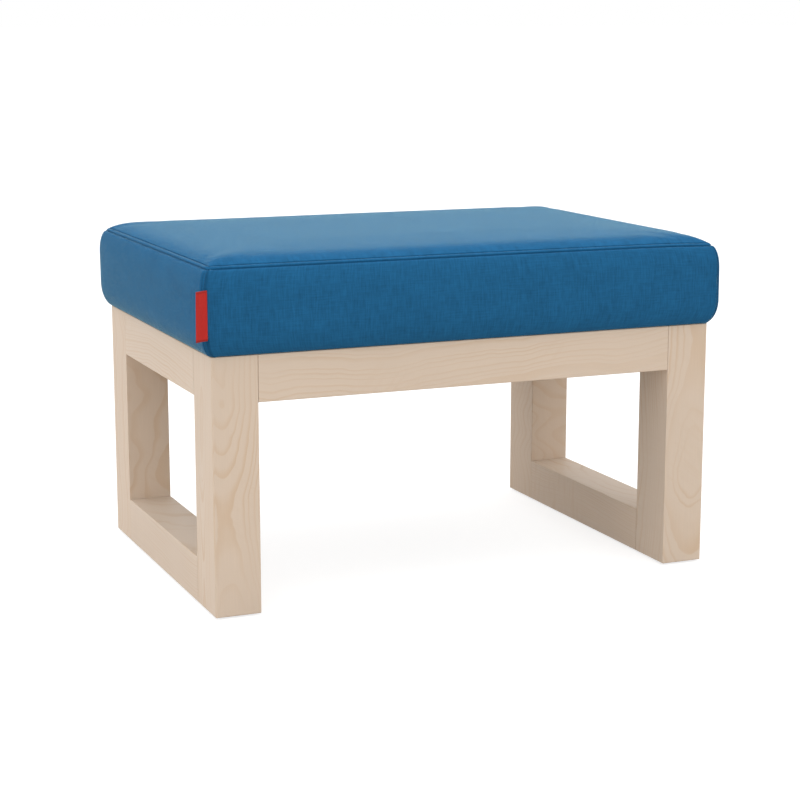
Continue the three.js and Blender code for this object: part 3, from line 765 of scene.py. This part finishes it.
    def corner_lines(self, step, first_row):
        """The vertices up the end panels that lie a number of steps from each corner seam."""
        spans = [len(line) - 1 for line in self.lines]
        columns = [spans[0] + step, spans[0] + spans[1] - step]
        columns += [2 * spans[0] + spans[1] + step, 2 * (spans[0] + spans[1]) - step]
        count = len(self.rings[0])
        return [[row * count + column for row in range(first_row, len(self.rings) - 1)] for column in columns]


def side_levels(count, bottom, top):
    """Heights up the side, closer together at its two edges."""
    return [bottom + (top - bottom) * (1 - math.cos(math.pi * k / (count - 1))) / 2 for k in range(count)]


def plain_sides(skin, levels):
    """Adds the rings of a padding form's sides, drawn in towards the seam."""
    for level in levels:
        swell = swell_at(level + skin.depth - cover_low.z)
        pull = seam_pull * math.exp((level - levels[-1]) / padding_round)
        skin.ring(level, swell * corner_swell_share - pull, swell * (1 - corner_swell_share))


board_inset = board_low.x - front_left_foot.x
padding_start_share = 0.3
core_rows = 14
coarse_steps = [0.0, 3 * mm, 8 * mm, 15 * mm]
coarse_spacing = 14 * mm
core_depth = cover_thickness + 2 * cover_gap + wrap_thickness
foam_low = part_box("foam_core")[0]

core = SeatSkin(core_depth, coarse_steps, coarse_spacing, padding_round, padding_round)
core.ring(foam_low.z, core_depth - board_inset)
core_start = cover_low.z + side_height * padding_start_share
plain_sides(core, side_levels(core_rows, core_start, seam_level - core_depth))
core.crown(dome_rise)
foam_core = core.build("foam_block", closed_below=True)

foam_yellow = (0.78, 0.68, 0.38, 1)
foam_pore_shade = (0.66, 0.55, 0.27, 1)

foam, add, calc = node_material("upholstery_foam")
spot = add("ShaderNodeTexCoord").outputs["Object"]
cells = add("ShaderNodeTexVoronoi", Vector=spot, Scale=1100.0).outputs["Distance"]
cloud = add("ShaderNodeTexNoise", Vector=spot, Scale=35.0, Detail=3.0).outputs["Fac"]
# Each cell is darkest at its middle: painted shade in the foam's open pores
open_cell = add("ShaderNodeMapRange", Value=cells, From_Max=0.6).outputs[0]
tint = blend(add, calc("MULTIPLY", open_cell, cloud), foam_pore_shade, foam_yellow)
surface(add, tint, 0.95, cells, 0.4 * mm, 0.8)
foam_core.data.materials.append(foam)
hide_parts("foam_core")
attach(foam_core, "root")

# Fibre wrap
# A blanket of white polyester wadding, laid over the foam and down past the edge of the board, where
# it is held by spray glue. It rounds off the foam's edges.

wrap_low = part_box("fibre_wrap")[0]
wrap_depth = cover_thickness + cover_gap + stitch_sink
pressed_wadding = 2.4 * mm
wrap_rows = 18
wrap = SeatSkin(wrap_depth, coarse_steps, coarse_spacing, padding_round, padding_round)
plain_sides(wrap, side_levels(wrap_rows, wrap_low.z, seam_level - wrap_depth))
wrap.crown(dome_rise)
fibre_wrap = wrap.build("fibre_blanket")


def thickened(piece, thickness, offset):
    """Gives a sheet its thickness: inwards from its face with an offset of -1, or half each way with 0."""
    wall = piece.modifiers.new("thickness", "SOLIDIFY")
    wall.thickness = thickness
    wall.offset = offset


thickened(fibre_wrap, pressed_wadding, -1)

fibre_white = (0.83, 0.83, 0.80, 1)
fibre_shade = (0.66, 0.67, 0.66, 1)

fibre, add, calc = node_material("polyester_wadding")
spot = add("ShaderNodeTexCoord").outputs["Object"]
tangle = add("ShaderNodeTexNoise", Vector=spot, Scale=260.0, Detail=6.0, Distortion=2.5).outputs["Fac"]
lumps = add("ShaderNodeTexNoise", Vector=spot, Scale=40.0, Detail=2.0).outputs["Fac"]
tint = blend(add, tangle, fibre_shade, fibre_white)
surface(add, tint, 1.0, calc("MULTIPLY", tangle, lumps), 2.0 * mm, 0.6, Sheen_Weight=0.5)
fibre_wrap.data.materials.append(fibre)
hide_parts("fibre_wrap")
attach(fibre_wrap, "root")

# Seat cover
# Blue linen-look cloth, sewn as a box: a top panel and four side panels. The seam allowance is turned
# onto the top panel, and at the corners onto the end panels, and topstitched to a flat raised welt.

groove_width = 1.3 * mm
crease_width = 1.1 * mm
welt_height = 0.5 * mm
welt_fullness = 0.6
strip_height = 0.5 * mm
strip_fullness = 0.8
fine_steps = [0, 0.12, 0.3, 0.6, 0.95, 1.35, 1.85, 2.4, 2.8, 3.1, 3.4, 3.75, 4.1, 4.35, 4.6, 4.85, 5.15, 5.6]
fine_steps = [s * mm for s in fine_steps + [6.3, 7.1, 8.1, 9.4, 11, 13, 15.3, 18, 21]]
fine_spacing = 5.6 * mm
form_depth = 0.8 * mm
form_rows = 12
press_force = 4
press_frames = 20
press_share = 0.175
cloth_stiffness = 15
cloth_quality = 5
least_length = 1e-9
side_row_spacing = 5 * mm
fine_side_rows = [r * mm for r in [0, 0.4, 1, 1.8, 2.8, 4, 5.5, 7.5, 10, 13, 16.5, 20.5, 25, 30, 35.5, 41]]
margin_reaches = [-43 * mm, -30 * mm]
under_reaches = [-10 * mm, -5 * mm]
dust_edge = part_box("dust_cover")
step_reach = front_left_foot.x - dust_edge[0].x + cover_gap
margin_level = dust_edge[1].z + cover_gap
sewn_edge_angle = math.radians(62)


def nearest_step(width):
    """The step that lies nearest to a width in from the seam."""
    return int(np.abs(np.array(fine_steps) - width).argmin())


def allowance(near, width, sink_width, height, fullness):
    """The raised seam allowance beside a seam, and the valley that its stitches pull."""
    share = np.clip(near / width, 0, 1)
    return height * np.sin(np.pi * share) ** fullness - stitch_sink * bell(near - width, sink_width) * share


def corner_strip(near):
    """The flat raised strip beside a corner seam."""
    return allowance(near, strip_width, strip_sink_width, strip_height, strip_fullness)


def top_welt(near):
    """The raised welt along the edge of the top panel."""
    return allowance(near, welt_width, welt_sink_width, welt_height, welt_fullness)


def vertex_places(mesh):
    """A mesh's points as rows of numbers."""
    places = np.empty(len(mesh.vertices) * 3)
    mesh.vertices.foreach_get("co", places)
    return places.reshape(-1, 3)


def pressed_out():
    """A coarse skin under the cover, and how far the padding presses its cloth out between the seams."""
    form_skin = SeatSkin(form_depth, coarse_steps, coarse_spacing, groove_width, padding_round)
    plain_sides(form_skin, side_levels(form_rows, cover_low.z, seam_level - form_depth))
    form_skin.crown(0.0)
    form = form_skin.build("cover_form")
    count = len(form_skin.rings[0])
    top_row = (form_rows - 1) * count
    held = [*range(count), *range(top_row, top_row + count)]
    form.vertex_groups.new(name="sewn_down").add(held, 1.0, "REPLACE")
    cloth = form.modifiers.new("cloth", "CLOTH")
    cloth.settings.vertex_group_mass = "sewn_down"
    cloth.settings.use_pressure = True
    cloth.settings.uniform_pressure_force = press_force
    cloth.settings.effector_weights.gravity = 0
    cloth.settings.quality = cloth_quality
    cloth.settings.tension_stiffness = cloth_stiffness
    cloth.settings.compression_stiffness = cloth_stiffness
    cloth.point_cache.frame_start = 1
    cloth.point_cache.frame_end = press_frames
    before = vertex_places(form.data)
    for frame in range(1, press_frames + 1):
        bpy.context.scene.frame_set(frame)
    after = vertex_places(form.evaluated_get(bpy.context.evaluated_depsgraph_get()).data)
    bpy.data.objects.remove(form)
    bpy.context.scene.frame_set(1)
    moved = (after - before) * press_share
    length = np.linalg.norm(moved, axis=1, keepdims=True)
    return form_skin, moved * np.minimum(1, dome_rise / np.maximum(length, least_length))


cover_skin = SeatSkin(0.0, fine_steps, fine_spacing, groove_width, crease_width)
for reach in [*margin_reaches, step_reach]:
    cover_skin.ring(margin_level, reach)
for reach in [step_reach + margin_level - cover_low.z, *under_reaches]:
    cover_skin.ring(cover_low.z, reach)
first_side_row = len(cover_skin.rings)
for height in stations(side_height, fine_side_rows, side_row_spacing)[:-1]:
    swell = swell_at(height)
    bow = swell * (1 - corner_swell_share)
    cover_skin.ring(cover_low.z + height, swell * corner_swell_share, bow, corner_strip)
cover_skin.ring(seam_level, side_swell * seam_share - seam_pull)
cover_skin.crown(0.0, top_welt)
cover_skin.follow(*pressed_out())
seat_cover = cover_skin.build("seat_cloth")
seat_cover.data.set_sharp_from_angle(angle=sewn_edge_angle)
thickened(seat_cover, cover_thickness, -1)


def build_linen_weave():
    """Plain weave of uneven yarns: the over and under of warp and weft, slubs both ways, and mottling."""
    group, add, calc, given = shader_group(
        "linen_weave", Yarn_Pitch=0.0008, Slub=0.3, Mottle=0.1, Cloth=(0.02, 0.1, 0.2, 1),
    )
    spot = given["Vector"]
    along = add("ShaderNodeSeparateXYZ", Vector=spot).outputs
    bend = streaks(add, spot, (60, 60, 60))
    half_turn = calc("DIVIDE", math.pi, given["Yarn Pitch"])
    warp = calc("SINE", calc("MULTIPLY_ADD", along["X"], half_turn, bend))
    weft = calc("SINE", calc("MULTIPLY_ADD", along["Y"], half_turn, bend))
    over = calc("MULTIPLY_ADD", calc("MULTIPLY", warp, weft), 0.5, 0.5)
    under = calc("SUBTRACT", 1.0, over)
    warp_height = calc("MULTIPLY", calc("ABSOLUTE", warp), over)
    weft_height = calc("MULTIPLY", calc("ABSOLUTE", weft), under)
    yarns = calc("MAXIMUM", warp_height, weft_height)

    warp_slub = calc("SUBTRACT", streaks(add, spot, (600, 60, 1), 2.0), 0.5)
    weft_slub = calc("SUBTRACT", streaks(add, spot, (55, 620, 1), 2.0), 0.5)
    slubs = calc("MULTIPLY", calc("MULTIPLY_ADD", weft_slub, 0.65, warp_slub), given["Slub"])
    mottle = calc("SUBTRACT", streaks(add, spot, (26, 26, 1), 2.0), 0.5)
    blotch = calc("SUBTRACT", streaks(add, spot, (150, 85, 1), 2.0), 0.5)
    mottle = calc("MULTIPLY", calc("MULTIPLY_ADD", blotch, 0.9, mottle), given["Mottle"])
    # Lighter on the yarns' crowns and darker between them: painted shade in the weave's hollows
    shade = calc("ADD", calc("MULTIPLY_ADD", yarns, 0.36, 0.82), slubs)
    color = scaled(add, given["Cloth"], calc("ADD", shade, mottle))
    rough = calc("MULTIPLY_ADD", yarns, -0.12, 0.92)
    add("NodeGroupOutput", Color=color, Roughness=rough, Height=calc("MULTIPLY_ADD", slubs, 0.8, yarns))
    return group


def woven(add, **look):
    """The linen weave on the flat cloth of a piece, and the place on that cloth."""
    spot = add("ShaderNodeUVMap", {"uv_map": "cloth"}).outputs[0]
    return add("ShaderNodeGroup", {"node_tree": linen_weave}, Vector=spot, **look).outputs, spot


linen_weave = build_linen_weave()
cloth_blue = (0.0126, 0.110, 0.250, 1)
yarn_pitch = 0.85 * mm
# How much the painted shade darkens the cloth in its seams and stitch rows
painted_seam_shade = 0.26
nap_tint = (0.62, 0.97, 1.0, 1)

cloth, add, calc = node_material("blue_linen_look_cloth")
weave, spot = woven(add, Yarn_Pitch=yarn_pitch, Slub=0.6, Mottle=0.26, Cloth=cloth_blue)
# The cloth is darkened where the sewn attribute says: painted shade in the seams and stitch rows
sewn = add("ShaderNodeAttribute", {"attribute_name": "sewn"}).outputs["Fac"]
tint = scaled(add, weave["Color"], calc("MULTIPLY_ADD", sewn, -painted_seam_shade, 1.0))
nap = {"Sheen_Weight": 0.75, "Sheen_Roughness": 0.15, "Sheen_Tint": nap_tint, "Specular_IOR_Level": 0.1}
surface(add, tint, weave["Roughness"], weave["Height"], 0.16 * mm, 0.7, **nap)
seat_cover.data.materials.append(cloth)
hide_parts("seat_cover")
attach(seat_cover, "root")

# Topstitching
# Blue thread in lockstitch: a row round the top beside the welt, and a row up each end panel beside
# its corner seam. Each stitch is a short length of thread that thins where it dips into the cloth.

stitch_pitch = 4.2 * mm
stitch_length = 3.5 * mm
shortest_half, longest_half = 0.44, 0.52
thread_radius = 0.27 * mm
thread_lift = 0.1 * mm
stitch_sides = 6
stitch_rings = 5
stitch_seed = 11


def build_lockstitch():
    """Stitches at an even pitch along every line of a path, each a slightly different length."""
    group = bpy.data.node_groups.new("lockstitch", "GeometryNodeTree")
    inputs = {"Path": "Geometry", "Pitch": "Float", "Length": "Float", "Radius": "Float"}
    inputs.update({"Sides": "Int", "Rings": "Int", "Seed": "Int", "Thread": "Material"})
    sockets = {}
    for name, kind in inputs.items():
        socket = group.interface.new_socket(name, in_out="INPUT", socket_type=f"NodeSocket{kind}")
        sockets[name] = socket.identifier
    group.interface.new_socket("Stitches", in_out="OUTPUT", socket_type="NodeSocketGeometry")
    add, calc = tree_tools(group)
    given = add("NodeGroupInput").outputs
    line = add("GeometryNodeMeshToCurve", Mesh=given["Path"])
    even = {"mode": "LENGTH"}
    places = add("GeometryNodeResampleCurve", even, Curve=line.outputs[0], Length=given["Pitch"])
    tangent = add("GeometryNodeInputTangent")
    turn = add("FunctionNodeAlignRotationToVector", {"axis": "Z"}, Vector=tangent.outputs[0])
    stitch = add("GeometryNodeMeshUVSphere", Segments=given["Sides"], Rings=given["Rings"], Radius=1.0)
    uneven = add("FunctionNodeRandomValue", _2=shortest_half, _3=longest_half, Seed=given["Seed"])
    half = calc("MULTIPLY", given["Length"], uneven.outputs[1])
    size = add("ShaderNodeCombineXYZ", X=given["Radius"], Y=given["Radius"], Z=half)
    row = add(
        "GeometryNodeInstanceOnPoints",
        Points=places.outputs[0], Instance=stitch.outputs[0], Rotation=turn.outputs[0], Scale=size.outputs[0],
    )
    sewn = add("GeometryNodeRealizeInstances", Geometry=row.outputs[0])
    smooth = add("GeometryNodeSetShadeSmooth", Geometry=sewn.outputs[0])
    dyed = add("GeometryNodeSetMaterial", Geometry=smooth.outputs[0], Material=given["Thread"])
    add("NodeGroupOutput", Stitches=dyed.outputs[0])
    return group, sockets


thread_blue = (0.011, 0.088, 0.205)

thread, add, calc = node_material("blue_sewing_thread")
spot = add("ShaderNodeTexCoord").outputs["Object"]
plies = add("ShaderNodeTexNoise", Vector=spot, Scale=1900.0, Detail=2.0).outputs["Fac"]
tint = scaled(add, thread_blue, calc("MULTIPLY_ADD", plies, 0.5, 0.75))
surface(add, tint, 0.6, plies, 0.05 * mm, 0.5, Specular_IOR_Level=0.25)

stitch_points = []
stitch_edges = []
stitch_lines = [cover_skin.seam_line(nearest_step(welt_width))]
stitch_lines += cover_skin.corner_lines(nearest_step(strip_width), first_side_row + 1)
for number, line in enumerate(stitch_lines):
    start = len(stitch_points)
    for index in line:
        vertex = seat_cover.data.vertices[index]
        stitch_points.append(vertex.co + vertex.normal * thread_lift)
    last = len(stitch_points) - 1
    stitch_edges.extend((k, k + 1) for k in range(start, last))
    if number == 0:
        stitch_edges.append((last, start))
path_mesh = bpy.data.meshes.new("stitch_path")
path_mesh.from_pydata(stitch_points, stitch_edges, [])
stitching = placed("topstitching", path_mesh)
lockstitch, sockets = build_lockstitch()
sewing = stitching.modifiers.new("sewing", "NODES")
sewing.node_group = lockstitch
stitch = {"Pitch": stitch_pitch, "Length": stitch_length, "Radius": thread_radius, "Seed": stitch_seed}
stitch.update({"Sides": stitch_sides, "Rings": stitch_rings, "Thread": thread})
for name, value in stitch.items():
    sewing[sockets[name]] = value
stitches = bpy.data.meshes.new_from_object(stitching.evaluated_get(bpy.context.evaluated_depsgraph_get()))
stitching.modifiers.clear()
stitching.data = stitches
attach(stitching, "root")

# Dust cover
# A sheet of black spun cloth, stapled to the underside of the board with its edges inside the frame's
# outline. It hangs a little in the open middle of the frame, and is slit where each bolt goes through.

dust_low, dust_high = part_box("dust_cover")
dust_thickness = 0.4 * mm
dust_gap = 0.1 * mm
dust_sag = 1.6 * mm
dust_ripple = 0.16 * mm
ripple_turns = (61, 17)
ripple_sway = 2.2
dust_spacing = 7 * mm
slit_half = 3.6 * mm
line_room = dust_spacing / 3
bolt_places = []
for name in corner_names:
    low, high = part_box(f"{name}_seat_bolt")
    bolt_places.append((low + high) / 2)


def cut_lines(low, high, cuts):
    """Even lines from one edge to the other, with a pair at each slit and none closer to it."""
    even = np.linspace(low, high, round((high - low) / dust_spacing) + 1)
    edges = sorted({round(c + side * slit_half, 6) for c in cuts for side in (-1, 1)})
    clear = [line for line in even if min(abs(line - e) for e in edges) > line_room]
    clear = [line for line in clear if not any(abs(line - c) < slit_half for c in cuts)]
    return np.array(sorted([*clear, *edges]))


lines_x = cut_lines(dust_low.x, dust_high.x, [p.x for p in bolt_places])
lines_y = cut_lines(dust_low.y, dust_high.y, [p.y for p in bolt_places])
points = []
open_half_x = (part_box("right_top_rail")[0].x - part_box("left_top_rail")[1].x) / 2
open_half_y = (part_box("back_apron")[0].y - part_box("front_apron")[1].y) / 2
for x in lines_x:
    for y in lines_y:
        across = max(0.0, 1 - ((x - frame_middle.x) / open_half_x) ** 2)
        along = max(0.0, 1 - ((y - frame_middle.y) / open_half_y) ** 2)
        wave = math.sin(x * ripple_turns[0] + ripple_sway * math.sin(y * ripple_turns[1]))
        ripple = dust_ripple * wave * math.sqrt(across * along)
        points.append((x, y, dust_high.z - (dust_sag * across * along + ripple + dust_gap)))
faces = []
maps = []
rows = len(lines_y)
for i in range(len(lines_x) - 1):
    for j in range(rows - 1):
        middle = Vector(((lines_x[i] + lines_x[i + 1]) / 2, (lines_y[j] + lines_y[j + 1]) / 2))
        if any((middle - p.xy).length < slit_half for p in bolt_places):
            continue
        ring = [i * rows + j, i * rows + j + 1, (i + 1) * rows + j + 1, (i + 1) * rows + j]
        faces.append(ring)
        maps.extend(c for k in ring for c in points[k][:2])
dust_sheet = cloth_piece("dust_sheet", points, faces, maps)
thickened(dust_sheet, dust_thickness, 0)

dust_black = (0.012, 0.012, 0.013, 1)
dust_grey = (0.03, 0.03, 0.032, 1)

dust, add, calc = node_material("spun_dust_cloth")
spot = add("ShaderNodeTexCoord").outputs["Object"]
strands = add("ShaderNodeTexNoise", Vector=spot, Scale=900.0, Detail=4.0, Distortion=1.5).outputs["Fac"]
dimple = add("ShaderNodeTexVoronoi", Vector=spot, Scale=700.0).outputs["Distance"]
tint = blend(add, strands, dust_black, dust_grey)
surface(add, tint, 0.85, calc("ADD", dimple, strands), 0.1 * mm, 0.5)
dust_sheet.data.materials.append(dust)
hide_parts("dust_cover")
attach(dust_sheet, "root")

# Seam tab
# A woven red ribbon, folded in two and sewn into the front left corner seam. Its two long edges are
# close woven borders, and its face is plain.

tab_low, tab_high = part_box("seam_tab")
tab_angle = math.radians(31)
ribbon_thickness = 0.4 * mm
pressed_share = 0.9
leaf_gap = 0.3 * mm
tab_rows = 26
leaf_steps = 14
fold_steps = 6
tab_twist = 0.9 * mm
tab_bow = 0.5 * mm
tab_sink = 0.9 * mm
tab_out = Vector((-math.cos(tab_angle), -math.sin(tab_angle)))
tab_root = Vector((
    frame_middle.x - half_frame.x - side_swell * corner_swell_share * end_fullness + end_pull - lean / 2,
    frame_middle.y - half_frame.y - side_swell * corner_swell_share,
)) - tab_out * tab_sink
tab_reach = (tab_root.x - tab_low.x) / math.cos(tab_angle)
leaf_half = (leaf_gap + ribbon_thickness) / 2
tab_side = Vector((math.sin(tab_angle), -math.cos(tab_angle)))


def ribbon_path():
    """The ribbon's line seen from above: out along one leaf, round the fold and back, as (out, aside)."""
    straight = tab_reach - leaf_half
    for step in range(leaf_steps):
        yield straight * step / leaf_steps, -leaf_half
    for step in range(fold_steps + 1):
        angle = math.pi * (step / fold_steps - 0.5)
        yield straight + leaf_half * math.cos(angle), leaf_half * math.sin(angle)
    for step in range(1, leaf_steps + 1):
        yield straight * (1 - step / leaf_steps), leaf_half


ribbon = list(ribbon_path())
distances = [0.0]
for before, after in zip(ribbon, ribbon[1:]):
    distances.append(distances[-1] + math.dist(before, after))
points = []
for row in range(tab_rows + 1):
    height = tab_low.z + (tab_high.z - tab_low.z) * row / tab_rows
    turn = row / tab_rows - 0.5
    for out, aside in ribbon:
        share = out / tab_reach
        curl = tab_twist * share ** 2 * turn - tab_bow * math.sin(math.pi * share) * (1 - turn)
        place = tab_root + tab_out * out + tab_side * (aside + curl)
        points.append((place.x, place.y, height))
faces = []
maps = []
columns = len(ribbon)
for row in range(tab_rows):
    for column in range(columns - 1):
        low, high = row * columns + column, (row + 1) * columns + column
        faces.append((low, low + 1, high + 1, high))
        heights = [points[low][2] - tab_low.z, points[high][2] - tab_low.z]
        left, right = distances[column], distances[column + 1]
        maps.extend([left, heights[0], right, heights[0], right, heights[1], left, heights[1]])
ribbon_tab = cloth_piece("ribbon_tab", points, faces, maps)
thickened(ribbon_tab, ribbon_thickness * pressed_share, 0)

ribbon_red = (0.52, 0.018, 0.012, 1)
ribbon_pitch = 0.3 * mm
border_width = 2.2 * mm
border_shade = 0.72
tab_height = tab_high.z - tab_low.z

red_ribbon, add, calc = node_material("woven_red_ribbon")
weave, spot = woven(add, Yarn_Pitch=ribbon_pitch, Slub=0.12, Mottle=0.12, Cloth=ribbon_red)
up = add("ShaderNodeSeparateXYZ", Vector=spot).outputs["Y"]
from_middle = calc("ABSOLUTE", calc("SUBTRACT", up, tab_height / 2))
border = calc("GREATER_THAN", from_middle, tab_height / 2 - border_width)
tint = blend(add, border, weave["Color"], scaled(add, weave["Color"], border_shade))
surface(add, tint, 0.6, weave["Height"], 0.08 * mm, 0.6, Sheen_Weight=0.05, Specular_IOR_Level=0.2)
ribbon_tab.data.materials.append(red_ribbon)
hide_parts("seam_tab")
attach(ribbon_tab, "root")
